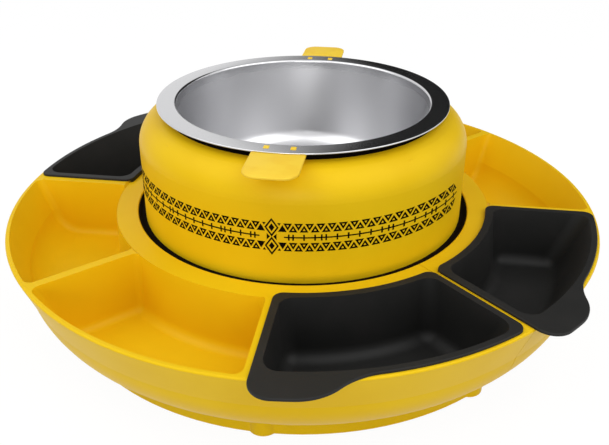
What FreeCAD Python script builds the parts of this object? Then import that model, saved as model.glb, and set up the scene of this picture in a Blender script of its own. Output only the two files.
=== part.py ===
import FreeCAD, Part
import math
import os

# Electric taco maker: a fixed base with a heated pot in its middle and a turning food tray round it.
# Millimetres. The origin is on the table under the middle of the pot, +Z is up and the front is -Y.

os.makedirs("parts", exist_ok=True)
Vector = FreeCAD.Vector
up = Vector(0, 0, 1)

# Tray sizes
rim_radius = 200.0          # outer edge of the tray
rim_height = 65.6           # top of the tray's rim above the table
tray_wall = 3.0
tray_knee = (191.5, 41.6)   # where the straight outer wall starts to curve under
tray_belly = (186.6, 27.6)  # a point half way round that curve
tray_foot = (176.5, 16.6)   # lower edge of the outer wall
deck_hole_radius = 115.0
deck_outer_radius = 129.5
deck_height = 64.2
deck_wall = 2.5
floor_under = 20.5          # underside of the compartments' floor
floor_top = 23.5
skirt_radius = 173.5        # inside of the skirt that hangs round the turntable
sector_angle = 45.0
sector_count = 8
divider_width = 5.6
seam_width = 6.0            # the two end walls of the half trays and the gap between them
seam_gap = 0.4
seam_angle = -45.0
pocket_corner = 5.0         # radius of a compartment's upright corners

# Food dish sizes
dish_rim_thickness = 1.6
dish_rim_top = rim_height + dish_rim_thickness
dish_rim_inner = 127.0
dish_rim_outer = 198.2
dish_rim_side = 1.55        # from the divider's middle to the edge of the rim
dish_rim_corner = 6.3
dish_lip = 1.6              # width of the lip that carries the rim's inner edge on the deck
dish_mouth_inner = 132.0
dish_mouth_outer = 194.6
dish_mouth_side = 6.2
dish_wall = 1.6
dish_floor_inner = 136.5
dish_floor_outer = 177.0
dish_floor_side = 9.0
dish_floor_height = 28.0
dish_upright_corner = 9.0
dish_floor_corner = 8.0
flap_reach = 213.8          # how far the lifting flap stands out from the axis
flap_corner = 12.0
flap_turn = 7.0             # degrees from the dish's first side, where the flap's edge starts to fall back
flap_crest_radius = 30.0    # the edge falls back in a crest and a hollow
flap_hollow_radius = 40.0
dish_starts = (-90.0, -45.0, 90.0, 135.0)
dish_slide = -0.3           # degrees that each dish lies to one side of its compartment's middle

# Pot sizes
pot_radius = 110.0
pot_wall = 2.5
shoulder_radius = 19.0
shoulder_centre = (91.0, 113.0)
shoulder_sweep = 65.0
lip_radius = 91.0
lip_height = 132.6
mouth_radius = 87.8
pot_foot = 3.0              # thickness of the flange that the pot is screwed down by
pot_foot_width = 12.0
boss_radius = 3.6
boss_top = 128.4
collar_inner = 85.3
collar_outer = 87.3
collar_foot = 113.0
collar_flange = 1.5
well_inner = 88.0
well_wall = 1.2
well_plate = 1.8
well_corner = 5.0
well_floor = 74.2           # upper face of the warming plate that the bowl stands on
well_top = 113.0
well_flange = 103.5

# Bowl sizes
bowl_rim_top = 138.8
bowl_rim_radius = 96.9
bowl_mouth_radius = 84.2
bowl_floor_radius = 74.0
bowl_steel = 0.9
bowl_corner = 14.0
tab_width = 31.0
tab_reach = 129.0
tab_top = 137.2
tab_thickness = 4.0
tab_corner = 7.0
peg_radius = 89.6
peg_spacing = 15.7
peg_size = 3.4

# Base sizes
plinth_radius = 167.6
plinth_bottom = 0.9
plinth_top = 15.0
plinth_wall = 2.5
base_hole_radius = 95.0
foot_count = 8
foot_circle = 161.5
foot_radius = 9.0
pad_radius = 6.4
pad_recess = 1.2
cover_bottom = 2.2
cover_thickness = 2.0
post_circle = 152.0
post_radius = 4.0
vent_count = 24
vent_inner = 52.0
vent_outer = 82.0
vent_half_width = 1.8

# Screws: circles that they stand on, and how many there are
well_screw_circle = 99.0
well_screw_count = 4
well_screw_start = 45.0
pot_screw_circle = 102.0
pot_screw_count = 6
retainer_screw_circle = 115.2
retainer_screw_count = 6
retainer_screw_start = 30.0
small_pilot = 1.3           # radius of a hole that a small screw cuts its thread in
small_hole = 1.8            # radius of a hole that a small screw passes
large_pilot = 1.9

# Turntable and its ball race
ball_circle = 142.0
ball_radius = 3.0
ball_count = 24
ball_height = 16.55
race_clearance = 0.06
turntable_bottom = 18.0
turntable_top = 20.5
turntable_inner = 119.0
turntable_outer = 173.0
key_circle = 155.0
key_radius = 3.0
key_height = 1.4
key_count = 4
retainer_inner = 112.5
retainer_lip = 123.5        # its upper edge reaches this far over the turntable
retainer_top = 22.1
cage_half_width = 6.5
cage_half_height = 0.8

# Heater under the warming plate
heater_inner = 14.0
heater_outer = 68.0
heater_thickness = 6.0
tube_circle = 52.0
tube_radius = 3.3
tube_ends = (-60.0, 240.0)
tube_drop = 14.0            # length of the element's cold ends under the plate
stud_circle = 32.0
stud_radius = 1.9
stud_foot = 56.0
bridge_drop = 18.2          # from the warming plate down to the bridge
bridge_thickness = 1.2
reflector_height = 50.0
reflector_steel = 0.8
reflector_radius = 92.0
fuse_offset = -22.0

# Switch, cord entry and terminal block, all at the back of the base
entry_height = 8.3
gland_angle = 101.0
gland_bore = 3.2
gland_radius = 4.0
gland_flange = 5.6
switch_angle = 79.0
switch_half_width = 6.6
switch_half_height = 4.0
rocker_half_width = 5.5
rocker_half_height = 3.2
rocker_tilt = 9.0
block_place = 88.0
block_ways = 3
block_pitch = 10.0


def line(start, end):
    return Part.LineSegment(start, end).toShape()


def arc(start, middle, end):
    return Part.Arc(start, middle, end).toShape()


def section(start, *steps):
    """A closed outline in the XZ plane: each step is an end point, or a middle and an end point of an arc."""
    edges = []
    here = Vector(start[0], 0, start[1])
    first = here
    for step in steps:
        if len(step) == 4:
            middle = Vector(step[0], 0, step[1])
            there = Vector(step[2], 0, step[3])
            edges.append(arc(here, middle, there))
        else:
            there = Vector(step[0], 0, step[1])
            edges.append(line(here, there))
        here = there
    if here.distanceToPoint(first) > 1e-6:
        edges.append(line(here, first))
    return Part.Face(Part.Wire(edges))


def revolved(start, *steps):
    return section(start, *steps).revolve(Vector(0, 0, 0), up, 360)


def ring(inner, outer, bottom, top):
    return revolved((inner, bottom), (outer, bottom), (outer, top), (inner, top))


def cylinder(radius, bottom, top, x=0.0, y=0.0):
    return Part.makeCylinder(radius, top - bottom, Vector(x, y, bottom))


def box(low, high):
    size = [high[i] - low[i] for i in range(3)]
    return Part.makeBox(size[0], size[1], size[2], Vector(*low))


def turned(shape, angle):
    copy = shape.copy()
    copy.rotate(Vector(0, 0, 0), up, angle)
    return copy


def polar(radius, angle, z=0.0):
    a = math.radians(angle)
    return Vector(radius * math.cos(a), radius * math.sin(a), z)


def fuse_all(shapes):
    return shapes[0].multiFuse(shapes[1:]).removeSplitter()


def save(name, *shapes):
    shape = shapes[0] if len(shapes) == 1 else Part.makeCompound(list(shapes))
    shape.exportStep("parts/" + name + ".step")


def edges_where(shape, test):
    return [edge for edge in shape.Edges if test(edge)]


def spaced(radius, count, start=0.0):
    """Points at even steps round a circle."""
    return [polar(radius, start + index * 360.0 / count) for index in range(count)]


# Tray: one turned ring with eight pockets, parted along a diameter into two halves

def tray_blank():
    rim_round = 1.2
    return revolved(
        (deck_hole_radius, floor_top),
        (deck_hole_radius, deck_height - 1.0),
        (deck_hole_radius + 0.3, deck_height - 0.3, deck_hole_radius + 1.0, deck_height),
        (deck_outer_radius, deck_height),
        (deck_outer_radius + 1.5, rim_height),
        (rim_radius - rim_round, rim_height),
        (rim_radius - 0.35, rim_height - 0.35, rim_radius, rim_height - rim_round),
        tray_knee,
        (tray_belly[0], tray_belly[1], tray_foot[0], tray_foot[1]),
        (skirt_radius, tray_foot[1]),
        (skirt_radius, floor_under),
        (deck_outer_radius - deck_wall, floor_under),
        (deck_outer_radius - deck_wall, deck_height - deck_wall),
        (deck_hole_radius + deck_wall, deck_height - deck_wall),
        (deck_hole_radius + deck_wall, floor_top),
    )


def pocket_ring():
    above = rim_height + 6.0
    slope = (rim_radius - tray_knee[0]) / (rim_height - 1.0 - tray_knee[1])
    knee = (tray_knee[0] - tray_wall, tray_knee[1])
    corner = 6.0
    return revolved(
        (deck_outer_radius, above),
        (deck_outer_radius + 1.2, floor_top + corner),
        (deck_outer_radius + 1.2 + 0.3 * corner, floor_top + 0.3 * corner,
         deck_outer_radius + 1.2 + corner, floor_top),
        (171.0, floor_top),
        (183.2, 29.6, knee[0], knee[1]),
        (knee[0] + slope * (above - knee[1]), above),
    )


def build_tray():
    tray = tray_blank()
    bars = []
    for index in range(sector_count):
        angle = seam_angle + index * sector_angle
        width = seam_width if index % (sector_count // 2) == 0 else divider_width
        bar = box((deck_outer_radius - 4.0, -width / 2, 10.0), (rim_radius + 20.0, width / 2, 90.0))
        bars.append(turned(bar, angle))
    pockets = pocket_ring().cut(bars[0].multiFuse(bars[1:]))
    for pocket in pockets.Solids:
        tray = tray.cut(rounded_pocket(pocket))
    end_walls = []
    for angle in (seam_angle, seam_angle + 180.0):
        wall = box((deck_hole_radius + 1.5, -seam_width / 2, floor_top),
                   (deck_outer_radius - 1.0, seam_width / 2, deck_height - 1.5))
        end_walls.append(turned(wall, angle))
    tray = tray.fuse(end_walls[0]).fuse(end_walls[1]).removeSplitter()
    for place in spaced(key_circle, key_count, seam_angle + 1.5 * sector_angle):
        tray = tray.cut(cylinder(key_radius + 0.4, floor_under - 1.0, floor_under + key_height + 0.4,
                                 place.x, place.y))
    beyond = rim_radius + 20.0
    slot = turned(box((-beyond, -seam_gap / 2, 0), (beyond, seam_gap / 2, 90)), seam_angle)
    halves = tray.cut(slot).Solids
    side = polar(1.0, seam_angle + 90.0)
    halves.sort(key=lambda half: half.CenterOfMass.dot(side))
    return halves


def rounded_pocket(pocket):
    """Rounds the upright and floor edges along a pocket's two flat sides."""
    picked = []
    for face in pocket.Faces:
        if not isinstance(face.Surface, Part.Plane) or abs(face.normalAt(0, 0).z) > 0.5:
            continue
        for edge in face.Edges:
            if edge.BoundBox.ZMax > rim_height + 5.9 and edge.BoundBox.ZMin > rim_height:
                continue
            picked.append(edge)
    return pocket.makeFillet(pocket_corner, picked)


# Food dish: a drafted pan under a flat rim with a lifting flap at one end

def sector_wire(inner, outer, side, z):
    """Outline of one tray sector, its straight sides held a set distance from the dividers' middles."""
    points = []
    for radius in (inner, outer):
        half = math.degrees(math.asin(side / radius))
        points.append((radius, half, sector_angle - half))
    (inner, a0, a1), (outer, b0, b1) = points
    middle = sector_angle / 2
    return Part.Wire([
        line(polar(inner, a0, z), polar(outer, b0, z)),
        arc(polar(outer, b0, z), polar(outer, middle, z), polar(outer, b1, z)),
        line(polar(outer, b1, z), polar(inner, a1, z)),
        arc(polar(inner, a1, z), polar(inner, middle, z), polar(inner, a0, z)),
    ])


def pan(grow, top, bottom):
    """Drafted pan body, grown by a wall thickness on every side."""
    upper = sector_wire(dish_mouth_inner - grow, dish_mouth_outer + grow, dish_mouth_side - grow, top)
    lower = sector_wire(dish_floor_inner - grow, dish_floor_outer + grow, dish_floor_side - grow, bottom)
    body = Part.makeLoft([lower, upper], True, True)
    upright = edges_where(body, lambda e: e.BoundBox.ZLength > 0.9 * (top - bottom))
    body = body.makeFillet(dish_upright_corner + grow, upright)
    floor_edges = edges_where(body, lambda e: e.BoundBox.ZMax < bottom + 0.01)
    return body.makeFillet(dish_floor_corner + grow, floor_edges)


def side_angle(radius):
    """Angle from the divider's middle at which the rim's straight side crosses a circle."""
    return math.degrees(math.asin(dish_rim_side / radius))


def rim_wire(z):
    """Outline of the rim and its flap: the edge falls back from the flap in two arcs that meet smoothly."""
    crest_distance = flap_reach - flap_crest_radius
    hollow_distance = dish_rim_outer + flap_hollow_radius
    apart = flap_crest_radius + flap_hollow_radius
    between = math.degrees(math.acos((crest_distance ** 2 + hollow_distance ** 2 - apart ** 2)
                                     / (2 * crest_distance * hollow_distance)))
    flap_end = flap_turn + between
    crest = polar(crest_distance, flap_turn, z)
    hollow = polar(hollow_distance, flap_end, z)
    meeting = crest + (hollow - crest) * (flap_crest_radius / apart)

    def on_circle(centre, radius, start, end):
        middle = (start + end) * 0.5 - centre
        return centre + middle * (radius / middle.Length)

    flap_top = polar(flap_reach, flap_turn, z)
    flap_foot = polar(dish_rim_outer, flap_end, z)
    outer_side = sector_angle - side_angle(dish_rim_outer)
    inner_side = side_angle(dish_rim_inner)
    flap_side = side_angle(flap_reach)
    corners = [
        polar(dish_rim_inner, inner_side, z),
        polar(flap_reach, flap_side, z),
        polar(dish_rim_outer, outer_side, z),
        polar(dish_rim_inner, sector_angle - inner_side, z),
    ]
    return Part.Wire([
        line(corners[0], corners[1]),
        arc(corners[1], polar(flap_reach, (flap_side + flap_turn) / 2, z), flap_top),
        arc(flap_top, on_circle(crest, flap_crest_radius, flap_top, meeting), meeting),
        arc(meeting, on_circle(hollow, flap_hollow_radius, meeting, flap_foot), flap_foot),
        arc(flap_foot, polar(dish_rim_outer, (flap_end + outer_side) / 2, z), corners[2]),
        line(corners[2], corners[3]),
        arc(corners[3], polar(dish_rim_inner, sector_angle / 2, z), corners[0]),
    ])


def rim_plate():
    """Flat rim with its flap, and a lip under the inner edge that stands on the tray's deck."""
    height = dish_rim_top - deck_height
    plate = Part.Face(rim_wire(deck_height)).extrude(Vector(0, 0, height))
    flap_tip = polar(flap_reach, side_angle(flap_reach))
    outer_end = polar(dish_rim_outer, sector_angle - side_angle(dish_rim_outer))

    def upright_near(point, reach=1.0):
        return edges_where(plate, lambda e: e.BoundBox.ZLength > 0.9 * height
                           and math.hypot(e.CenterOfMass.x - point.x, e.CenterOfMass.y - point.y) < reach)

    plate = plate.makeFillet(flap_corner, upright_near(flap_tip))
    plate = plate.makeFillet(dish_rim_corner, upright_near(outer_end))
    inner_corners = edges_where(plate, lambda e: e.BoundBox.ZLength > 0.9 * height
                                and math.hypot(e.CenterOfMass.x, e.CenterOfMass.y) < dish_rim_inner + 1.0)
    plate = plate.makeFillet(dish_rim_corner, inner_corners)
    plate = plate.cut(ring(dish_rim_inner + dish_lip, flap_reach + 10.0, deck_height - 1.0, rim_height))
    return plate.makeFillet(0.6, edges_where(plate, lambda e: e.BoundBox.ZMin > dish_rim_top - 0.01))


def build_dish():
    body = pan(dish_wall, rim_height + 0.5, dish_floor_height - dish_wall)
    hollow = pan(0.0, dish_rim_top + 0.01, dish_floor_height)
    return rim_plate().fuse(body).cut(hollow).removeSplitter()


# Pot: outer housing, black collar, warming well and the bowl with its two lifting tabs

def build_pot_housing():
    cx, cz = shoulder_centre
    sweep = math.radians(shoulder_sweep)
    half = sweep / 2

    def shoulder(radius, angle):
        return (cx + radius * math.cos(angle), cz + radius * math.sin(angle))

    outer_mid = shoulder(shoulder_radius, half)
    outer_end = shoulder(shoulder_radius, sweep)
    inner_r = shoulder_radius - pot_wall
    inner_mid = shoulder(inner_r, half)
    inner_end = shoulder(inner_r, sweep)
    shell = revolved(
        (pot_radius, plinth_top),
        (pot_radius, cz),
        outer_mid + outer_end,
        (95.1, 131.75, lip_radius, lip_height),
        (mouth_radius + 1.0, lip_height),
        (mouth_radius + 0.3, lip_height - 0.3, mouth_radius, lip_height - 1.0),
        (mouth_radius, lip_height - pot_wall),
        (lip_radius - 1.0, lip_height - pot_wall),
        inner_end,
        inner_mid + (cx + inner_r, cz),
        (pot_radius - pot_wall, plinth_top + pot_foot),
        (pot_radius - pot_foot_width, plinth_top + pot_foot),
        (pot_radius - pot_foot_width, plinth_top),
    )
    boss_foot = collar_foot + collar_flange + 0.1
    rib = box((well_screw_circle, -1.0, boss_foot), (pot_radius, 1.0, boss_foot + 8.0))
    rib = rib.common(Part.makeTorus(cx, inner_r + 0.6, Vector(0, 0, cz)))
    boss = cylinder(boss_radius, boss_foot, boss_top, well_screw_circle)
    boss = boss.fuse(rib)
    pilot = cylinder(small_pilot, collar_foot, boss_top - 4.0, well_screw_circle)
    for index in range(well_screw_count):
        angle = well_screw_start + index * 360.0 / well_screw_count
        shell = shell.fuse(turned(boss, angle)).cut(turned(pilot, angle))
    for place in spaced(pot_screw_circle, pot_screw_count):
        shell = shell.cut(cylinder(large_pilot, plinth_top - 1, plinth_top + pot_foot + 1, place.x, place.y))
    return shell.removeSplitter()


def build_collar():
    top = bowl_rim_top - bowl_steel
    collar = revolved(
        (collar_inner, collar_foot),
        (well_flange, collar_foot),
        (well_flange, collar_foot + collar_flange),
        (collar_outer, collar_foot + collar_flange),
        (collar_outer, top),
        (collar_inner + 0.5, top),
        (collar_inner, top - 0.5),
    )
    for place in spaced(well_screw_circle, well_screw_count, well_screw_start):
        collar = collar.cut(cylinder(small_hole, collar_foot - 1, collar_foot + 2, place.x, place.y))
    return collar


def build_well():
    outer = well_inner + well_wall
    plate = well_plate
    corner = well_corner
    well = revolved(
        (0, well_floor - plate),
        (outer - corner, well_floor - plate),
        (outer - 0.3 * corner, well_floor - plate + 0.3 * corner, outer, well_floor - plate + corner),
        (outer, well_top - well_wall),
        (well_flange, well_top - well_wall),
        (well_flange, well_top),
        (well_inner, well_top),
        (well_inner, well_floor + corner),
        (well_inner - 0.3 * corner, well_floor + 0.3 * corner, well_inner - corner, well_floor),
        (0, well_floor),
    )
    for place in spaced(well_screw_circle, well_screw_count, well_screw_start):
        well = well.cut(cylinder(small_hole, well_top - 3, well_top + 1, place.x, place.y))
    return well


def build_bowl():
    inner = bowl_mouth_radius
    floor = well_floor + 0.05
    low = bowl_floor_radius
    corner = bowl_corner
    steel = bowl_steel
    bowl = revolved(
        (0, floor),
        (low - corner, floor),
        (low - 0.32 * corner, floor + 0.26 * corner, low, floor + corner),
        (inner + steel, bowl_rim_top - 4.0),
        (inner + steel, bowl_rim_top - steel),
        (bowl_rim_radius - 1.2, bowl_rim_top - steel),
        (bowl_rim_radius - 1.2, bowl_rim_top - 2.2),
        (bowl_rim_radius, bowl_rim_top - 2.2),
        (bowl_rim_radius, bowl_rim_top - 1.0),
        (bowl_rim_radius - 0.3, bowl_rim_top - 0.3, bowl_rim_radius - 1.0, bowl_rim_top),
        (inner + 1.5, bowl_rim_top),
        (inner + 0.44, bowl_rim_top - 0.44, inner, bowl_rim_top - 1.5),
        (inner, bowl_rim_top - 4.0),
        (low - steel, floor + corner),
        (low - 0.32 * corner - 0.7 * steel, floor + 0.26 * corner + 0.7 * steel,
         low - corner, floor + steel),
        (0, floor + steel),
    )
    for angle in (-90.0, 90.0):
        for side in (-0.5, 0.5):
            hole = box((peg_radius - peg_size / 2 - 0.1, side * peg_spacing - peg_size / 2 - 0.1, 130),
                       (peg_radius + peg_size / 2 + 0.1, side * peg_spacing + peg_size / 2 + 0.1, 145))
            bowl = bowl.cut(turned(hole, angle))
    return bowl


def build_tab():
    """Lifting tab pointing along +X: a plate under the bowl's rim with two pegs that come up through it."""
    half = tab_width / 2
    bottom = tab_top - tab_thickness
    root = collar_outer + 0.5
    plate = box((root, -half, bottom), (tab_reach, half, tab_top))
    plate = plate.makeFillet(tab_corner, edges_where(
        plate, lambda e: e.BoundBox.ZLength > 1 and e.CenterOfMass.x > tab_reach - 1))
    plate = plate.makeFillet(1.2, edges_where(plate, lambda e: e.BoundBox.ZLength < 0.01
                                              and e.CenterOfMass.x > root + 1))
    rim_inside = bowl_rim_radius - 1.5
    pad = box((root + 0.6, -half + 1.5, tab_top - 1.5), (rim_inside, half - 1.5, bowl_rim_top - bowl_steel))
    notch = ring(collar_outer - 10, collar_outer + 0.3, 120, 150)
    tab = plate.fuse(pad)
    for side in (-0.5, 0.5):
        y = side * peg_spacing
        peg = box((peg_radius - peg_size / 2, y - peg_size / 2, tab_top - 1),
                  (peg_radius + peg_size / 2, y + peg_size / 2, bowl_rim_top + 0.6))
        peg = peg.makeFillet(0.5, edges_where(peg, lambda e: e.CenterOfMass.z > bowl_rim_top))
        tab = tab.fuse(peg)
    lip = ring(bowl_rim_radius - 1.3, bowl_rim_radius + 0.2, bowl_rim_top - 2.4, bowl_rim_top)
    return tab.cut(notch).cut(lip).removeSplitter()


# Base: plinth with foot bosses, bottom cover, rubber pads and screws

def build_base_housing():
    underside = plinth_top - plinth_wall
    shell = revolved(
        (base_hole_radius, underside),
        (base_hole_radius, plinth_top),
        (plinth_radius - 1.5, plinth_top),
        (plinth_radius - 0.45, plinth_top - 0.45, plinth_radius, plinth_top - 1.5),
        (plinth_radius, plinth_bottom),
        (plinth_radius - plinth_wall, plinth_bottom),
        (plinth_radius - plinth_wall, underside),
    )
    race_rib = ring(ball_circle - 5.0, ball_circle + 5.0, underside - 1.5, underside)
    pieces = [shell, race_rib]
    for place in spaced(foot_circle, foot_count):
        boss = cylinder(foot_radius, plinth_bottom, underside + 0.6, place.x, place.y)
        boss = boss.makeFillet(1.0, edges_where(boss, lambda e: e.CenterOfMass.z > underside))
        pieces.append(boss)
    for place in spaced(post_circle, foot_count, 180.0 / foot_count):
        pieces.append(cylinder(post_radius, cover_bottom + cover_thickness, underside + 0.5,
                               place.x, place.y))
    base = fuse_all(pieces)
    for place in spaced(foot_circle, foot_count):
        base = base.cut(cylinder(pad_radius + 0.05, 0, plinth_bottom + pad_recess, place.x, place.y))
    for place in spaced(post_circle, foot_count, 180.0 / foot_count):
        base = base.cut(cylinder(small_pilot, 3.0, underside - 1.0, place.x, place.y))
    race = Part.makeTorus(ball_circle, ball_radius + race_clearance, Vector(0, 0, ball_height))
    base = base.cut(race)
    for place in spaced(pot_screw_circle, pot_screw_count):
        base = base.cut(cylinder(large_pilot, underside - 1, plinth_top + 1, place.x, place.y))
    for place in spaced(retainer_screw_circle, retainer_screw_count, retainer_screw_start):
        base = base.cut(cylinder(small_pilot, underside - 1, plinth_top + 1, place.x, place.y))
    inside = plinth_radius - 8.0
    gland_cut = Part.makeCylinder(gland_radius + 0.1, 12, Vector(inside, 0, entry_height), Vector(1, 0, 0))
    half_width = switch_half_width + 0.1
    half_height = switch_half_height + 0.1
    switch_cut = box((inside, -half_width, entry_height - half_height),
                     (plinth_radius + 4, half_width, entry_height + half_height))
    base = base.cut(turned(gland_cut, gland_angle)).cut(turned(switch_cut, switch_angle))
    return base.removeSplitter()


def build_cover():
    top = cover_bottom + cover_thickness
    cover = cylinder(plinth_radius - plinth_wall - 0.3, cover_bottom, top)
    for place in spaced(foot_circle, foot_count):
        cover = cover.cut(cylinder(foot_radius + 0.3, 0, 10, place.x, place.y))
    for place in spaced(post_circle, foot_count, 180.0 / foot_count):
        cover = cover.cut(cylinder(small_hole, 0, 10, place.x, place.y))
    slot = box((vent_inner, -vent_half_width, 0), (vent_outer, vent_half_width, 10))
    slot = slot.fuse(cylinder(vent_half_width, 0, 10, vent_inner))
    slot = slot.fuse(cylinder(vent_half_width, 0, 10, vent_outer))
    for index in range(vent_count):
        cover = cover.cut(turned(slot, index * 360.0 / vent_count))
    return cover


def screw(radius, head_radius, head_height, length, direction, x, y, z):
    """A pan-head screw: its head's outer face is at z and its shank runs the way direction says."""
    head = cylinder(head_radius, 0, head_height)
    head = head.makeFillet(min(0.6, head_height * 0.5), edges_where(head, lambda e: e.CenterOfMass.z < 0.01
                                                                    and len(e.Vertexes) == 1))
    body = head.fuse(cylinder(radius, head_height - 0.1, head_height + length))
    recess = box((-head_radius * 0.6, -0.35, -0.1), (head_radius * 0.6, 0.35, head_height * 0.5))
    body = body.cut(recess).cut(turned(recess, 90))
    if direction < 0:
        body.rotate(Vector(0, 0, 0), Vector(1, 0, 0), 180)
    body.translate(Vector(x, y, z))
    return body


def build_screws():
    head = 1.2
    save("cover_screws", *[screw(1.2, 2.8, head, 7.0, 1, place.x, place.y, cover_bottom - head)
                           for place in spaced(post_circle, foot_count, 180.0 / foot_count)])
    head = 1.8
    save("pot_screws", *[screw(1.7, 3.2, head, 5.4, -1, place.x, place.y, plinth_top + pot_foot + head)
                         for place in spaced(pot_screw_circle, pot_screw_count)])
    save("retainer_screws", *[screw(1.2, 2.1, 1.1, 6.0, -1, place.x, place.y, retainer_top)
                              for place in spaced(retainer_screw_circle, retainer_screw_count,
                                                  retainer_screw_start)])
    head = 1.6
    save("well_screws", *[screw(1.2, 3.0, head, 9.0, 1, place.x, place.y, well_top - well_wall - head)
                          for place in spaced(well_screw_circle, well_screw_count, well_screw_start)])


def build_pads():
    pads = []
    for place in spaced(foot_circle, foot_count):
        pad = cylinder(pad_radius, 0, plinth_bottom + pad_recess, place.x, place.y)
        pads.append(pad.makeFillet(0.4, edges_where(pad, lambda e: e.CenterOfMass.z < 0.01
                                                    and len(e.Vertexes) == 1)))
    return pads


# Turntable: ring on balls, held down by a retainer ring

def build_turntable():
    plate = ring(turntable_inner, turntable_outer, turntable_bottom, turntable_top)
    rib = ring(ball_circle + 8.0, ball_circle + 10.5, turntable_bottom - 1.6, turntable_bottom)
    rim = ring(turntable_outer - 2.5, turntable_outer, tray_foot[1], turntable_bottom)
    plate = plate.fuse(rib).fuse(rim)
    for place in spaced(key_circle, key_count, seam_angle + 1.5 * sector_angle):
        plate = plate.fuse(cylinder(key_radius, turntable_top - 0.5, turntable_top + key_height,
                                    place.x, place.y))
    race = Part.makeTorus(ball_circle, ball_radius + race_clearance, Vector(0, 0, ball_height))
    return plate.cut(race).removeSplitter()


def build_retainer():
    retainer = revolved(
        (retainer_inner, plinth_top),
        (turntable_inner - 0.3, plinth_top),
        (turntable_inner - 0.3, turntable_top + 0.4),
        (retainer_lip, turntable_top + 0.4),
        (retainer_lip, retainer_top),
        (retainer_inner, retainer_top),
    )
    for place in spaced(retainer_screw_circle, retainer_screw_count, retainer_screw_start):
        hole = cylinder(small_pilot + 0.1, plinth_top - 1, retainer_top + 1, place.x, place.y)
        sink = cylinder(2.3, retainer_top - 1.1, retainer_top + 1, place.x, place.y)
        retainer = retainer.cut(hole).cut(sink)
    return retainer


def build_ball_race():
    cage = ring(ball_circle - cage_half_width, ball_circle + cage_half_width,
                ball_height - cage_half_height, ball_height + cage_half_height)
    balls = []
    for place in spaced(ball_circle, ball_count):
        cage = cage.cut(cylinder(ball_radius + 0.1, 10, 22, place.x, place.y))
        ball = Part.makeSphere(ball_radius, Vector(place.x, place.y, ball_height))
        balls.append(ball)
    save("ball_cage", cage)
    save("race_balls", *balls)


# Heater: cast plate with a tube element, thermostat, fuse, reflector and clamp bridge

def build_heater():
    plate_top = well_floor - well_plate
    plate_bottom = plate_top - heater_thickness
    stud_places = spaced(stud_circle, 3, 90.0)
    plate = ring(heater_inner, heater_outer, plate_bottom, plate_top)
    groove = Part.makeTorus(tube_circle, tube_radius + 0.05, Vector(0, 0, plate_bottom))
    plate = plate.cut(groove)
    studs = [cylinder(stud_radius, stud_foot, plate_bottom + 0.3, place.x, place.y) for place in stud_places]
    plate = plate.multiFuse(studs).removeSplitter()
    save("heater_plate", plate)

    tube = Part.makeTorus(tube_circle, tube_radius, Vector(0, 0, plate_bottom), up, -180, 180,
                          tube_ends[1] - tube_ends[0])
    tube.rotate(Vector(0, 0, 0), up, tube_ends[0])
    ends = []
    for angle in tube_ends:
        start = polar(tube_circle, angle, plate_bottom - tube_drop)
        ends.append(Part.makeCylinder(tube_radius - 0.6, tube_drop + 2.0, start))
        ends.append(Part.makeCylinder(1.4, 6.0, start - Vector(0, 0, 5.0)))
    tube = tube.multiFuse(ends).removeSplitter()
    save("heating_element", tube)

    thermostat = cylinder(11.0, plate_top - 9.0, plate_top - 1.0)
    thermostat = thermostat.fuse(cylinder(8.0, plate_top - 1.1, plate_top))
    for side in (-1, 1):
        blade = box((side * 8.5 - 2.0, -0.4, plate_top - 17.0), (side * 8.5 + 2.0, 0.4, plate_top - 8.5))
        thermostat = thermostat.fuse(blade)
    save("thermostat", thermostat)

    bridge_top = plate_top - bridge_drop
    bridge = box((-40.0, -7.0, bridge_top - bridge_thickness), (40.0, 7.0, bridge_top))
    bridge = bridge.cut(box((-12.0, -3.0, bridge_top - 5.0), (12.0, 3.0, bridge_top + 5.0)))
    bridge = bridge.cut(cylinder(stud_radius + 0.2, bridge_top - 5.0, bridge_top + 5.0, stud_circle))
    save("thermostat_bridge", turned(bridge, 90.0))

    fuse_height = plate_bottom - 2.1
    fuse = Part.makeCylinder(2.0, 12.0, Vector(-6.0, fuse_offset, fuse_height), Vector(1, 0, 0))
    for side in (-1, 1):
        lead = Part.makeCylinder(0.5, 8.0, Vector(side * 6.0, fuse_offset, fuse_height), Vector(side, 0, 0))
        fuse = fuse.fuse(lead)
    save("thermal_fuse", fuse)

    low = reflector_height
    reflector = revolved(
        (24.0, low),
        (78.0, low),
        (reflector_radius, low + 8.0),
        (reflector_radius, low + 9.0),
        (77.6, low + reflector_steel),
        (24.0, low + reflector_steel),
    )
    for place in stud_places:
        reflector = reflector.cut(cylinder(stud_radius + 0.2, low - 5.0, low + 5.0, place.x, place.y))
    for angle in tube_ends:
        place = polar(tube_circle, angle)
        reflector = reflector.cut(cylinder(5.0, low - 5.0, low + 5.0, place.x, place.y))
    save("heat_reflector", reflector)


# Electrical entry at the back: cord gland, rocker switch and terminal block

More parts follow.
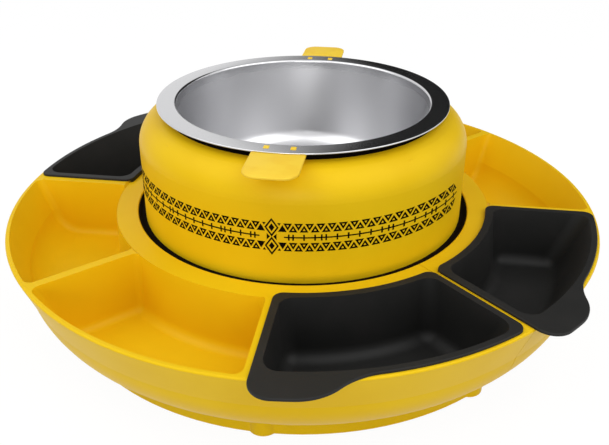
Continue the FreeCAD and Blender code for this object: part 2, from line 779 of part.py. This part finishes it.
def build_entry():
    outward = Vector(1, 0, 0)
    gland = Part.makeCylinder(gland_radius, 9.9, Vector(plinth_radius - 8.0, 0, entry_height), outward)
    flange = Part.makeCylinder(gland_flange, 1.8, Vector(plinth_radius + 0.1, 0, entry_height), outward)
    flange = flange.makeFillet(0.6, edges_where(flange, lambda e: e.CenterOfMass.x > plinth_radius + 1.8
                                                and len(e.Vertexes) == 1))
    bore = Part.makeCylinder(gland_bore, 20.0, Vector(plinth_radius - 12.0, 0, entry_height), outward)
    gland = gland.fuse(flange).cut(bore).removeSplitter()
    save("cord_gland", turned(gland, gland_angle))

    face = plinth_radius
    z = entry_height
    frame = box((face - 12.0, -switch_half_width, z - switch_half_height),
                (face + 0.3, switch_half_width, z + switch_half_height))
    bezel = box((face + 0.2, -7.9, z - 5.4), (face + 1.8, 7.9, z + 5.4))
    bezel = bezel.makeFillet(0.7, edges_where(bezel, lambda e: e.CenterOfMass.x > face + 1.0))
    well = box((face - 4.0, -6.0, z - 3.4), (face + 4.0, 6.0, z + 3.4))
    frame = frame.fuse(bezel).cut(well)
    for side in (-1, 1):
        frame = frame.fuse(box((face - 18.0, side * 3.6 - 0.4, z - 2.4), (face - 11.9, side * 3.6 + 0.4, z + 2.4)))
    save("switch_frame", turned(frame.removeSplitter(), switch_angle))

    pivot = face + 0.4
    wide = rocker_half_width
    low = z - rocker_half_height
    outline = Part.Wire(Part.makePolygon([
        Vector(pivot - 2.6, -2.0, low),
        Vector(pivot - 2.6, 2.0, low),
        Vector(pivot + 0.2, wide, low),
        Vector(pivot + 2.6, wide, low),
        Vector(pivot + 1.2, 0.0, low),
        Vector(pivot + 2.6, -wide, low),
        Vector(pivot + 0.2, -wide, low),
        Vector(pivot - 2.6, -2.0, low),
    ]))
    rocker = Part.Face(outline).extrude(Vector(0, 0, 2 * rocker_half_height))
    rocker.rotate(Vector(pivot, 0, z), up, rocker_tilt)
    save("switch_rocker", turned(rocker, switch_angle))

    floor = plinth_top + pot_foot + 0.1
    reach = block_pitch * block_ways / 2
    block = box((-reach, -8.0, floor), (reach, 8.0, floor + 2.0))
    for index in range(block_ways):
        x = block_pitch * (index - (block_ways - 1) / 2)
        block = block.fuse(box((x - 4.0, -7.0, floor + 1.9), (x + 4.0, 7.0, floor + 11.0)))
        for y in (-3.5, 3.5):
            block = block.cut(cylinder(small_hole, floor + 6.0, floor + 12.0, x, y))
    block.translate(Vector(0, block_place, 0))
    save("terminal_block", block)


def main():
    left_half, right_half = build_tray()
    save("tray_half_left", left_half)
    save("tray_half_right", right_half)
    dish = build_dish()
    for number, start in enumerate(dish_starts):
        save("food_dish_%d" % (number + 1), turned(dish, start + dish_slide))
    save("pot_housing", build_pot_housing())
    save("heat_collar", build_collar())
    save("warming_well", build_well())
    save("bowl", build_bowl())
    tab = build_tab()
    save("front_tab", turned(tab, -90.0))
    save("rear_tab", turned(tab, 90.0))
    save("base_housing", build_base_housing())
    save("bottom_cover", build_cover())
    save("foot_pads", *build_pads())
    build_screws()
    save("turntable", build_turntable())
    save("retainer_ring", build_retainer())
    build_ball_race()
    build_heater()
    build_entry()


main()
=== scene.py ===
import math

import bmesh
import bpy
from mathutils import Matrix, Vector


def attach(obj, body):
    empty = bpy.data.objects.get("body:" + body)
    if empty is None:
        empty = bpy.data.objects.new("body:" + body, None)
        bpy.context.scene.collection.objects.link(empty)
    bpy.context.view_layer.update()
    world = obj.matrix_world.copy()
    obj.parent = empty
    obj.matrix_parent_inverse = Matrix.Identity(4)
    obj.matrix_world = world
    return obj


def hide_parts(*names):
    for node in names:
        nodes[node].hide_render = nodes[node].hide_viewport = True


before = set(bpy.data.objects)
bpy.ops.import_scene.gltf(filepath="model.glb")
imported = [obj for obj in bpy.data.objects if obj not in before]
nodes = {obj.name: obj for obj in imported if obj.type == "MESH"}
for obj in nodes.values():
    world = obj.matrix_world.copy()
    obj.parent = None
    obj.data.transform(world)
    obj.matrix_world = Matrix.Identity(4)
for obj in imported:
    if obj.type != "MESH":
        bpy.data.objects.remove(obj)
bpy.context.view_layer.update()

# An electric taco maker: a heated pot in a turning tray of eight compartments.
# Metres, with the table at z = 0, the pot's axis at x = y = 0 and the front towards -y.

scene = bpy.context.scene
mm = 0.001


def fromSrgb(red, green, blue):  # a colour written as it looks on a screen, 0 to 255
    def straight(level):
        share = level / 255
        if share <= 0.04045:
            return share / 12.92
        return ((share + 0.055) / 1.055) ** 2.4
    return (straight(red), straight(green), straight(blue), 1.0)


# Materials

class Wire:  # one output of a node, with maths written as Python expressions
    def __init__(self, wiring, socket):
        self.wiring = wiring
        self.socket = socket

    def beside(self, output):  # another output of the same node
        return Wire(self.wiring, self.socket.node.outputs[output])

    def join(self, operation, first, second=0.0):
        return self.wiring.node("ShaderNodeMath", {"operation": operation}, {0: first, 1: second})

    def __add__(self, other):
        return self.join("ADD", self, other)

    def __radd__(self, other):
        return self.join("ADD", other, self)

    def __sub__(self, other):
        return self.join("SUBTRACT", self, other)

    def __rsub__(self, other):
        return self.join("SUBTRACT", other, self)

    def __mul__(self, other):
        return self.join("MULTIPLY", self, other)

    def __rmul__(self, other):
        return self.join("MULTIPLY", other, self)

    def __truediv__(self, other):
        return self.join("DIVIDE", self, other)

    def __rtruediv__(self, other):
        return self.join("DIVIDE", other, self)

    def __pow__(self, other):
        return self.join("POWER", self, other)

    def __neg__(self):
        return self.join("MULTIPLY", self, -1.0)

    def between(self, low, high):  # 0 below low, 1 above high, smooth in the middle
        return self.wiring.node("ShaderNodeMapRange", {"interpolation_type": "SMOOTHSTEP"},
                                {"Value": self, "From Min": low, "From Max": high})


class Wiring:  # the nodes of one material, or of the world
    def __init__(self, tree):
        self.tree = tree

    def feed(self, name, sockets):
        node = self.tree.nodes[name]
        for socket, value in sockets.items():
            if isinstance(value, Wire):
                self.tree.links.new(value.socket, node.inputs[socket])
            else:
                node.inputs[socket].default_value = value

    def node(self, kind, settings, sockets, output=0):
        made = self.tree.nodes.new(kind)
        for setting, value in settings.items():
            setattr(made, setting, value)
        self.feed(made.name, sockets)
        return Wire(self, made.outputs[output])

    def rays(self, *kinds):  # 1 for the kinds of ray that are named, such as "Camera"
        seen = 0.0
        for kind in kinds:
            path = self.node("ShaderNodeLightPath", {}, {}, output="Is " + kind + " Ray")
            seen = self.node("ShaderNodeMath", {"operation": "MAXIMUM"}, {0: path, 1: seen})
        return seen


class Finish(Wiring):  # one material
    def __init__(self, name):
        self.material = bpy.data.materials.new(name)
        self.material.use_nodes = True
        super().__init__(self.material.node_tree)

    def place(self):  # the piece's own coordinates, which travel with it
        return self.node("ShaderNodeTexCoord", {}, {}, output="Object")

    def parts(self, vector):
        split = self.node("ShaderNodeSeparateXYZ", {}, {0: vector})
        return [split.beside(axis) for axis in "XYZ"]

    def noise(self, vector, size, detail=2.0, rough=0.5):  # size is the width of one blotch in metres
        return self.node("ShaderNodeTexNoise", {},
                         {"Vector": vector, "Scale": 1 / size, "Detail": detail, "Roughness": rough})

    def mix(self, share, first, second):  # two colours
        return self.node("ShaderNodeMix", {"data_type": "RGBA"}, {0: share, 6: first, 7: second}, output=2)

    def bump(self, height, depth, strength=1.0):  # depth in metres for a height of 1
        return self.node("ShaderNodeBump", {}, {"Height": height, "Distance": depth, "Strength": strength})

    def shade(self, values):
        self.feed("Principled BSDF", values)
        return self.material


yellowPlasticLook = {
    "colour": fromSrgb(241, 199, 20),
    "deepColour": fromSrgb(237, 193, 14),   # where the pigment runs denser in the moulding
    "roughness": 0.42,
    "roughnessSpread": 0.08,
    "specular": 0.12,
    "flowSize": 60 * mm,
    "grainSize": 0.35 * mm,
    "grainDepth": 0.006 * mm,
}


def yellowPlastic():
    look = yellowPlasticLook
    finish = Finish("yellowPlastic")
    place = finish.place()
    flow = finish.noise(place, look["flowSize"], detail=3.0)
    grain = finish.noise(place, look["grainSize"], detail=2.0)
    colour = finish.mix(flow.between(0.35, 0.7), look["colour"], look["deepColour"])
    return finish.shade({
        "Base Color": colour,
        "Roughness": look["roughness"] + look["roughnessSpread"] * (flow - 0.5) + 0.04 * (grain - 0.5),
        "Specular IOR Level": look["specular"],
        "Normal": finish.bump(grain, look["grainDepth"]),
    })


blackPlasticLook = {
    "colour": fromSrgb(31, 31, 30),
    "scuffColour": fromSrgb(37, 36, 35),
    "roughness": 0.52,
    "specular": 0.2,
    "grainSize": 0.5 * mm,
    "grainDepth": 0.02 * mm,
}


def blackPlastic():
    look = blackPlasticLook
    finish = Finish("blackPlastic")
    place = finish.place()
    cloud = finish.noise(place, 30 * mm, detail=4.0)
    grain = finish.noise(place, look["grainSize"], detail=2.0)
    return finish.shade({
        "Base Color": finish.mix(cloud.between(0.4, 0.75), look["colour"], look["scuffColour"]),
        "Roughness": look["roughness"] + 0.1 * (cloud - 0.5) + 0.08 * (grain - 0.5),
        "Specular IOR Level": look["specular"],
        "Normal": finish.bump(grain, look["grainDepth"]),
    })


siliconeLook = {
    "colour": fromSrgb(252, 212, 50),
    "duskColour": fromSrgb(248, 204, 40),
    "roughness": 0.55,
}


def yellowSilicone():
    look = siliconeLook
    finish = Finish("yellowSilicone")
    place = finish.place()
    cloud = finish.noise(place, 12 * mm, detail=3.0)
    grain = finish.noise(place, 0.3 * mm)
    return finish.shade({
        "Base Color": finish.mix(cloud.between(0.4, 0.7), look["colour"], look["duskColour"]),
        "Roughness": look["roughness"] + 0.08 * (cloud - 0.5),
        "Normal": finish.bump(grain, 0.008 * mm),
    })


steelLook = {
    "colour": fromSrgb(205, 205, 207),
    "roughness": 0.17,
    "satin": 0.14,              # more roughness inside the mouth
    "mouth": (83.2 * mm, 85.0 * mm),
    "lineSize": 0.25 * mm,      # spacing of the spun lines
    "lineDepth": 0.0016 * mm,
}


def spunSteel(name, look):
    finish = Finish(name)
    place = finish.place()
    x, y, z = finish.parts(place)
    radius = (x * x + y * y) ** 0.5
    turn = finish.node("ShaderNodeMath", {"operation": "ARCTAN2"}, {0: y, 1: x})
    spun = finish.node("ShaderNodeCombineXYZ", {}, {0: radius, 1: turn * 0.002, 2: z})
    lines = finish.noise(spun, look["lineSize"], detail=3.0, rough=0.6)
    cloud = finish.noise(place, 25 * mm, detail=3.0)
    inside = 1 - radius.between(*look["mouth"])
    return finish.shade({
        "Base Color": look["colour"],
        "Metallic": 1.0,
        "Roughness": look["roughness"] + look["satin"] * inside + 0.08 * (lines - 0.5) + 0.06 * (cloud - 0.5),
        "Normal": finish.bump(lines, look["lineDepth"]),
    })


plainLook = {
    "cloudSize": 9 * mm,
    "grainSize": 0.6 * mm,
    "grainDepth": 0.01 * mm,
}


def plainPart(name, colour, otherColour, roughness, metallic=0.0, specular=0.5):
    finish = Finish(name)
    place = finish.place()
    cloud = finish.noise(place, plainLook["cloudSize"], detail=4.0)
    grain = finish.noise(place, plainLook["grainSize"])
    return finish.shade({
        "Base Color": finish.mix(cloud.between(0.35, 0.7), colour, otherColour),
        "Metallic": metallic,
        "Roughness": roughness + 0.12 * (cloud - 0.5) + 0.06 * (grain - 0.5),
        "Specular IOR Level": specular,
        "Normal": finish.bump(grain, plainLook["grainDepth"]),
    })


finishes = {
    "yellow_plastic": yellowPlastic(),
    "black_plastic": blackPlastic(),
    "yellow_silicone": yellowSilicone(),
    "bowl_steel": spunSteel("spunSteel", steelLook),
    "heat_resistant_black": plainPart("heatBlack", fromSrgb(17, 13, 11), fromSrgb(23, 18, 15), 0.7, specular=0.01),
    "dark_plastic": plainPart("darkPlastic", fromSrgb(44, 41, 38), fromSrgb(52, 48, 45), 0.55),
    "switch_black": plainPart("switchBlack", fromSrgb(28, 28, 29), fromSrgb(34, 34, 35), 0.28),
    "rubber": plainPart("rubber", fromSrgb(46, 45, 44), fromSrgb(60, 58, 56), 0.8),
    "aluminium": spunSteel("spunAluminium", dict(steelLook, colour=fromSrgb(214, 215, 217), roughness=0.36)),
    "zinc_plated_steel": plainPart("zincPlate", fromSrgb(196, 200, 206), fromSrgb(206, 200, 176), 0.3, 1.0),
    "element_steel": plainPart("elementSteel", fromSrgb(120, 112, 104), fromSrgb(92, 78, 70), 0.45, 1.0),
    "white_plastic": plainPart("whitePlastic", fromSrgb(228, 226, 220), fromSrgb(220, 216, 206), 0.5),
    "ceramic": plainPart("ceramic", fromSrgb(222, 216, 204), fromSrgb(212, 204, 190), 0.25),
}

for name, part in nodes.items():
    slotName = part.data.materials[0].name.split(".")[0]
    part.data.materials[0] = finishes[slotName]
print("finishes:", len(finishes))


# Ways of making a mesh that several pieces use

def rounded(corners, steps=6):  # corners are (across, up, radius), and one of radius 0 stays sharp
    outline = []
    count = len(corners)
    for index, (x, y, radius) in enumerate(corners):
        here = Vector((x, y))
        if radius == 0:
            outline.append((x, y))
            continue
        before = (Vector(corners[index - 1][:2]) - here).normalized()
        after = (Vector(corners[(index + 1) % count][:2]) - here).normalized()
        half = before.angle(after) / 2
        middle = here + (before + after).normalized() * (radius / math.sin(half))
        start = here + before * (radius / math.tan(half)) - middle
        end = here + after * (radius / math.tan(half)) - middle
        first = math.atan2(start.y, start.x)
        sweep = (math.atan2(end.y, end.x) - first + math.pi) % (2 * math.pi) - math.pi
        for step in range(steps + 1):
            angle = first + sweep * step / steps
            outline.append((middle.x + radius * math.cos(angle), middle.y + radius * math.sin(angle)))
    return outline


class Form:  # points and faces, gathered before they become a mesh
    def __init__(self):
        self.points = []
        self.faces = []

    def ring(self, points):  # gives the numbers of its points
        first = len(self.points)
        self.points += points
        return list(range(first, len(self.points)))

    def skin(self, rings, closed=False):  # faces between rings of equal count, where a ring of one is a tip
        pairs = list(zip(rings, rings[1:] + rings[:1]))
        for here, there in pairs if closed else pairs[:-1]:
            count = max(len(here), len(there))
            for one in range(count):
                two = (one + 1) % count
                corners = [here[one % len(here)], here[two % len(here)], there[two % len(there)], there[one % len(there)]]
                self.faces.append(list(dict.fromkeys(corners)))

    def turned(self, profile, closed, steps=192):  # a profile of (radius, height) turned round the pot's axis
        rings = []
        for radius, height in profile:
            if radius == 0:
                rings.append(self.ring([(0, 0, height)]))
                continue
            angles = [2 * math.pi * step / steps for step in range(steps)]
            rings.append(self.ring([(radius * math.cos(angle), radius * math.sin(angle), height) for angle in angles]))
        self.skin(rings, closed)

    def slab(self, outline, low, high, edge, turn, steps=3):  # a flat piece with soft edges: outline(inset) gives it
        levels = []
        for step in range(steps + 1):
            angle = math.pi / 2 * step / steps
            levels.append((edge * (1 - math.sin(angle)), low + edge * (1 - math.cos(angle))))
        levels += [(inset, low + high - height) for inset, height in reversed(levels)]
        rings = []
        for inset, height in levels:
            across = [Matrix.Rotation(turn, 3, "Z") @ Vector((x, y, height)) for x, y in outline(inset)]
            rings.append(self.ring([tuple(point) for point in across]))
        self.skin(rings)
        self.faces += [rings[0][::-1], rings[-1]]

    def piece(self, name, material, body, sharp=35):
        mesh = bpy.data.meshes.new(name)
        mesh.from_pydata(self.points, [], self.faces)
        shape = bmesh.new()
        shape.from_mesh(mesh)
        bmesh.ops.recalc_face_normals(shape, faces=shape.faces)
        shape.to_mesh(mesh)
        shape.free()
        mesh.shade_smooth()
        mesh.set_sharp_from_angle(angle=math.radians(sharp))
        mesh.materials.append(material)
        made = bpy.data.objects.new(name, mesh)
        scene.collection.objects.link(made)
        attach(made, body)
        return made


# The steel bowl, with its thin flat rim

bowlShape = {
    "floor": 74.25 * mm,            # underside, where it stands on the warming plate
    "rimTop": 138.8 * mm,
    "rimRadius": 96.9 * mm,
    "mouthRadius": 84.2 * mm,
    "floorRadius": 74.0 * mm,
    "steel": 0.9 * mm,
    "corner": 14.0 * mm,            # between floor and wall
    "neck": 4.0 * mm,               # the straight part under the rim
    "mouthEdge": 1.5 * mm,
    "rimEdge": (0.2 * mm, 0.35 * mm),   # rounding of the rim's lower and upper edge
}


def makeBowl():
    bowl = bowlShape
    steel = bowl["steel"]
    under = bowl["rimTop"] - steel
    neck = bowl["rimTop"] - bowl["neck"]
    inner = bowl["mouthRadius"]
    profile = rounded([
        (0, bowl["floor"], 0),
        (bowl["floorRadius"], bowl["floor"], bowl["corner"]),
        (inner + steel, neck, 0),
        (inner + steel, under, 0),
        (bowl["rimRadius"], under, bowl["rimEdge"][0]),
        (bowl["rimRadius"], bowl["rimTop"], bowl["rimEdge"][1]),
        (inner, bowl["rimTop"], bowl["mouthEdge"]),
        (inner, neck, 0),
        (bowl["floorRadius"] - steel, bowl["floor"] + steel, bowl["corner"] - steel),
        (0, bowl["floor"] + steel, 0),
    ], steps=8)
    form = Form()
    form.turned(profile, closed=False)
    piece = form.piece("bowl_shell", finishes["bowl_steel"], "bowl")
    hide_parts("bowl")


makeBowl()


# The two lifting tabs, each with two pegs that come up through the rim

tabShape = {
    "width": 31.4 * mm,
    "root": 88.0 * mm,
    "reach": 127.6 * mm,
    "top": 137.86 * mm,
    "thickness": 1.7 * mm,
    "corner": 9.0 * mm,
    "edge": 0.55 * mm,
    "turn": math.radians(-0.7),     # from straight ahead
    "pegRadius": 89.8 * mm,
    "pegSpacing": 15.6 * mm,
    "pegSize": 3.2 * mm,
    "pegTop": 139.35 * mm,
    "pegEdge": 0.35 * mm,
}


def makeTab(name, azimuth, replaced):
    tab = tabShape

    def plate(inset):
        half = tab["width"] / 2 - inset
        corner = tab["corner"] - inset
        back, front = tab["root"] + inset, tab["reach"] - inset
        return rounded([(back, -half, 0), (front, -half, corner), (front, half, corner), (back, half, 0)])

    form = Form()
    turn = azimuth + tab["turn"]
    form.slab(plate, tab["top"] - tab["thickness"], tab["top"], tab["edge"], turn)
    for side in (-0.5, 0.5):
        def peg(inset):
            half = tab["pegSize"] / 2 - inset
            x, y = tab["pegRadius"], side * tab["pegSpacing"]
            return [(x - half, y - half), (x + half, y - half), (x + half, y + half), (x - half, y + half)]
        form.slab(peg, tab["top"] - tab["thickness"] / 2, tab["pegTop"], tab["pegEdge"], turn)
    piece = form.piece(name, finishes["yellow_silicone"], "bowl", sharp=50)
    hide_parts(replaced)


makeTab("front_lifting_tab", math.radians(-90), "front_tab")
makeTab("rear_lifting_tab", math.radians(90), "rear_tab")


# Two black rings: a bead between the pot's shoulder and the collar, and a ring round the pot's foot. The foot ring is
# partly a seal and partly painted shade: a black sheet that fills the shadowed gap between pot and tray.

ringShapes = {                      # corners are (radius, height, rounding)
    "shoulder_bead": (
        (87.35 * mm, 131.6 * mm, 0),
        (91.4 * mm, 131.9 * mm, 0.3 * mm),
        (91.2 * mm, 132.8 * mm, 0.4 * mm),
        (88.4 * mm, 133.9 * mm, 0.6 * mm),
        (87.35 * mm, 134.0 * mm, 0),
    ),
    # painted shade: this black ring is partly a seal and partly a black sheet standing in for the shadow in the gap;
    # its raised outer lip turns the tray's inner wall black
    "foot_shade_ring": (
        (109.7 * mm, 60.4 * mm, 0),
        (114.7 * mm, 60.4 * mm, 0.3 * mm),
        (114.7 * mm, 63.7 * mm, 0.2 * mm),
        (113.9 * mm, 63.5 * mm, 0.4 * mm),
        (112.6 * mm, 62.0 * mm, 1.0 * mm),
        (109.7 * mm, 61.8 * mm, 0),
    ),
}


def makeRing(name):
    form = Form()
    form.turned(rounded(ringShapes[name], steps=4), closed=True)
    piece = form.piece(name, finishes["heat_resistant_black"], "base")


for name in ringShapes:
    makeRing(name)
print("bowl, tabs and rings are made")


# The printed band round the pot

bandPrint = {
    "radius": 110.0 * mm,
    "front": math.radians(-91.6),   # where the front pair of diamonds is
    "middle": 92.6 * mm,            # height of the centre line
    "unit": 6.13 * mm,              # from one triangle to the next, on the flat artwork
    "printed": 17,                  # units to each side of the diamonds, then the wall is bare
    "flatReach": math.radians(58.2),    # the artwork lies flat-on to this angle, then follows the wall
    "rowHeight": 5.5 * mm,
    "rowOffset": 6.22 * mm,         # from the centre line to the middle of a row
    "triangle": 2.45 * mm,          # half the base of a triangle
    "triangleHeight": 4.4 * mm,
    "hole": 0.33,                   # size of the bare triangle inside, as a share
    "diamond": (4.1 * mm, 6.0 * mm),    # half width and half height
    "diamondLine": 0.72,            # inner edge of the outline, as a share of the diamond
    "diamondCore": 0.42,
    "bow": (0.95 * mm, 2.85 * mm, 2.1 * mm),    # the small shapes between the diamonds: tip, back and half height
    "corner": (5.3 * mm, 3.35 * mm, 4.4 * mm, 1.7 * mm),    # the small shapes beside them: outer, inner, tip, depth
    "firstTriangle": 1.02,          # place of the filled triangle beside the diamonds, in units
    "lineStart": 7.1 * mm,
    "lineEnd": 107.6 * mm,
    "lineWidth": 0.85 * mm,
    "lineStep": 1.5 * mm,           # the line bends with the wall in steps of this length
    "tickHeight": 3.9 * mm,
    "tickWidth": 0.9 * mm,
    "pairs": (2, 5, 11, 15),        # units where a second tick stands before the first
    "pairGap": 2.45 * mm,
    "sunk": 0.2 * mm,
    "proud": 0.06 * mm,
    "ink": (fromSrgb(10, 5, 2), fromSrgb(16, 9, 4)),
    "inkRoughness": 0.6,
    "inkSpecular": 0.03,
}


def aroundPot(flat):  # the angle from the front diamonds of a point on the flat artwork
    reach = bandPrint["flatReach"]
    radius = bandPrint["radius"]
    edge = radius * math.sin(reach)
    if flat > edge:
        return reach + (flat - edge) / (radius * math.cos(reach))
    return math.asin(flat / radius)


def onWall(point, radius):
    flat, height = point
    angle = bandPrint["front"] + math.copysign(aroundPot(abs(flat)), flat)
    return (radius * math.cos(angle), radius * math.sin(angle), bandPrint["middle"] + height)


def finer(loop, parts=4):  # every edge in several parts, so that it can follow the wall
    points = []
    for (x, y), (nextX, nextY) in zip(loop, loop[1:] + loop[:1]):
        points += [(x + (nextX - x) * part / parts, y + (nextY - y) * part / parts) for part in range(parts)]
    return points


def printShape(ink, outline, hole=None):  # a closed ink shape that stands a hair proud of the pot's wall
    outside = bandPrint["radius"] + bandPrint["proud"]
    inside = bandPrint["radius"] - bandPrint["sunk"]
    if hole is None:
        front = ink.ring([onWall(point, outside) for point in outline])
        back = ink.ring([onWall(point, inside) for point in outline])
        ink.skin([front, back])
        ink.faces += [front[::-1], back]
        return
    loops = [(finer(outline), outside), (finer(outline), inside), (finer(hole), inside), (finer(hole), outside)]
    ink.skin([ink.ring([onWall(point, radius) for point in loop]) for loop, radius in loops], closed=True)


def printLine(ink, start, end):  # along the centre of the band
    thin = bandPrint["lineWidth"] / 2
    outside = bandPrint["radius"] + bandPrint["proud"]
    inside = bandPrint["radius"] - bandPrint["sunk"]
    steps = math.ceil(abs(end - start) / bandPrint["lineStep"])
    rings = []
    for step in range(steps + 1):
        flat = start + (end - start) * step / steps
        section = [(thin, outside), (-thin, outside), (-thin, inside), (thin, inside)]
        rings.append(ink.ring([onWall((flat, height), radius) for height, radius in section]))
    ink.skin(rings)
    ink.faces += [rings[0], rings[-1][::-1]]


def mirrored(ink, outline, hole=None):  # above and below the centre line
    flip = lambda loop: [(flat, -height) for flat, height in loop]
    printShape(ink, outline, hole)
    printShape(ink, flip(outline), hole and flip(hole))


def shrunk(outline, share):
    middleX = sum(point[0] for point in outline) / len(outline)
    middleY = sum(point[1] for point in outline) / len(outline)
    return [(middleX + share * (x - middleX), middleY + share * (y - middleY)) for x, y in outline]


def triangleAt(flat, upright):
    band = bandPrint
    half = band["triangle"]
    foot = band["rowOffset"] - band["rowHeight"] / 2
    tip = foot + band["triangleHeight"]
    if not upright:
        foot = band["rowOffset"] + band["rowHeight"] / 2
        tip = foot - band["triangleHeight"]
    return [(flat - half, foot), (flat + half, foot), (flat, tip)]


def diamondPair(ink):
    band = bandPrint
    wide, tall = band["diamond"]
    rhombus = [(0, -tall), (wide, 0), (0, tall), (-wide, 0)]
    lift = lambda share: [(share * x, tall + share * y) for x, y in rhombus]
    mirrored(ink, lift(1.0), lift(band["diamondLine"]))
    mirrored(ink, lift(band["diamondCore"]))
    bowTip, bowBack, bowHalf = band["bow"]
    outer, inner, tip, depth = band["corner"]
    top = band["rowOffset"] + band["rowHeight"] / 2
    for side in (-1, 1):
        printShape(ink, [(side * bowTip, 0), (side * bowBack, -bowHalf), (side * bowBack, bowHalf)])
        mirrored(ink, triangleAt(side * band["unit"] * band["firstTriangle"], True))
        mirrored(ink, [(side * outer, top), (side * inner, top), (side * tip, top - depth)])


def printRow(ink, side):  # the triangles, line and ticks to one side of the diamonds
    band = bandPrint
    unit = band["unit"]
    half = band["tickWidth"] / 2
    foot, top = band["lineWidth"] / 2, band["tickHeight"] / 2
    printLine(ink, side * band["lineStart"], side * band["lineEnd"])
    for count in range(2, band["printed"] + 1):
        for shape in (triangleAt(side * (count - 0.5) * unit, False), triangleAt(side * count * unit, True)):
            mirrored(ink, shape, shrunk(shape, band["hole"]))
        ticks = [count * unit]
        if count in band["pairs"]:
            ticks.append(count * unit - band["pairGap"])
        for tick in ticks:
            left, right = side * tick - half, side * tick + half
            mirrored(ink, [(left, foot), (right, foot), (right, top), (left, top)])


def printBand():
    band = bandPrint
    ink = Form()
    diamondPair(ink)
    for side in (-1, 1):
        printRow(ink, side)
    count = len(ink.points)         # the same again on the far side
    ink.points += [(-x, -y, z) for x, y, z in ink.points]
    ink.faces += [[corner + count for corner in face] for face in ink.faces]
    finish = plainPart("bandInk", *band["ink"], band["inkRoughness"], specular=band["inkSpecular"])
    return ink.piece("pot_band_print", finish, "base")


bandPiece = printBand()
print("band print:", len(bandPiece.data.polygons), "faces")


# Camera, lights and floor

view = {
    "turn": math.radians(7.5),      # how far round from the front the camera stands
    "rise": math.radians(26.44),
    "roll": math.radians(0.23),
    "distance": 534.1 * mm,
    "aim": (1.15 * mm, 65.6 * mm),  # to the right of the axis, and up
    "lens": 44.29,
    "sensor": 36.0,
    "shift": -28.5 / 609,           # the optical axis passes above the picture's middle
}


def setCamera():
    turn, rise, roll = view["turn"], view["rise"], view["roll"]
    right = Vector((math.cos(turn), math.sin(turn), 0))
    back = Vector((math.sin(turn) * math.cos(rise), -math.cos(turn) * math.cos(rise), math.sin(rise)))
    above = back.cross(right)
    aim = Vector((0, 0, view["aim"][1])) + view["aim"][0] * right
    place = aim + view["distance"] * back
    tiltedRight = right * math.cos(roll) + above * math.sin(roll)
    tiltedUp = above * math.cos(roll) - right * math.sin(roll)
    made = bpy.data.objects.new("camera", bpy.data.cameras.new("camera"))
    made.matrix_world = Matrix((
        (tiltedRight.x, tiltedUp.x, back.x, place.x),
        (tiltedRight.y, tiltedUp.y, back.y, place.y),
        (tiltedRight.z, tiltedUp.z, back.z, place.z),
        (0, 0, 0, 1)))
    made.data.sensor_fit = "HORIZONTAL"
    made.data.sensor_width = view["sensor"]
    made.data.lens = view["lens"]
    made.data.shift_y = view["shift"]
    made.data.clip_start = 0.01
    scene.collection.objects.link(made)
    scene.camera = made


studio = {
    "ambient": 0.42,        # light from all round
    "lamps": (              # place, size and power of each soft box
        ("leftBox", (-1.0, -0.5, 1.5), 1.8, 13.0),
        ("rightBox", (1.05, -0.45, 1.45), 1.8, 13.5),
        ("frontBox", (0.1, -1.9, 0.42), 0.8, 8.9),
    ),
    "aim": (0, 0, 0.08),
    "floorColour": (0.52, 0.52, 0.52, 1),
    "floorReach": 6.0,
    "floorGlow": 0.86,      # share of the floor that the camera sees as plain white
    "glowStrength": 1.1,
    "cardAzimuths": (112, 40),  # the dark card that the steel rim reflects, in degrees
    "cardFade": (-0.48, 0.02),  # it darkens from left to right between these places
    "cardHeights": (0.1, 1.6),
    "cardDistance": 1.6,
    "cardColour": (0.022, 0.022, 0.022, 1),
}


def softBox(name, place, size, power):
    lamp = bpy.data.lights.new(name, "AREA")
    lamp.size = size
    lamp.energy = power
    made = bpy.data.objects.new(name, lamp)
    made.location = place
    made.rotation_euler = (Vector(studio["aim"]) - Vector(place)).to_track_quat("-Z", "Y").to_euler()
    scene.collection.objects.link(made)


def stagePiece(name, corners, material):
    mesh = bpy.data.meshes.new(name)
    mesh.from_pydata(corners, [], [(0, 1, 2, 3)])
    mesh.materials.append(material)
    piece = bpy.data.objects.new(name, mesh)
    scene.collection.objects.link(piece)
    return piece


def floorFinish():
    finish = Finish("floorWhite")
    finish.feed("Principled BSDF", {"Base Color": studio["floorColour"], "Roughness": 0.9, "Specular IOR Level": 0.0})
    plain = Wire(finish, finish.tree.nodes["Principled BSDF"].outputs[0])
    glow = finish.node("ShaderNodeEmission", {}, {"Strength": studio["glowStrength"]})
    seen = finish.rays("Camera", "Glossy", "Transmission") * studio["floorGlow"]
    finish.feed("Material Output", {"Surface": finish.node("ShaderNodeMixShader", {}, {0: seen, 1: plain, 2: glow})})
    return finish.material


def setStudio():
    world = bpy.data.worlds.new("studio")
    world.use_nodes = True
    scene.world = world
    sky = Wiring(world.node_tree)
    seen = sky.rays("Camera", "Glossy", "Transmission")
    level = sky.node("ShaderNodeMapRange", {}, {"Value": seen, "To Min": studio["ambient"], "To Max": 1.0})
    sky.feed("Background", {"Color": (1, 1, 1, 1), "Strength": level})
    for name, place, size, power in studio["lamps"]:
        softBox(name, place, size, power)

    reach = studio["floorReach"]
    stagePiece("floor", [(-reach, -reach, 0), (reach, -reach, 0), (reach, reach, 0), (-reach, reach, 0)], floorFinish())

    card = Finish("darkCard")
    x = card.parts(card.place())[0]
    card.shade({"Base Color": studio["cardColour"], "Roughness": 1.0, "Specular IOR Level": 0.0,
                "Alpha": x.between(*studio["cardFade"])})
    left, right = [math.radians(angle) for angle in studio["cardAzimuths"]]
    low, high = studio["cardHeights"]
    far = studio["cardDistance"]
    corners = [(far * math.cos(angle), far * math.sin(angle), height)
               for angle, height in ((left, low), (right, low), (right, high), (left, high))]
    darkCard = stagePiece("darkCard", corners, card.material)
    darkCard.visible_camera = False
    darkCard.visible_diffuse = False
    darkCard.visible_shadow = False
    darkCard.visible_transmission = False


setCamera()
setStudio()
scene.view_settings.view_transform = "Standard"
print("camera and studio are set")
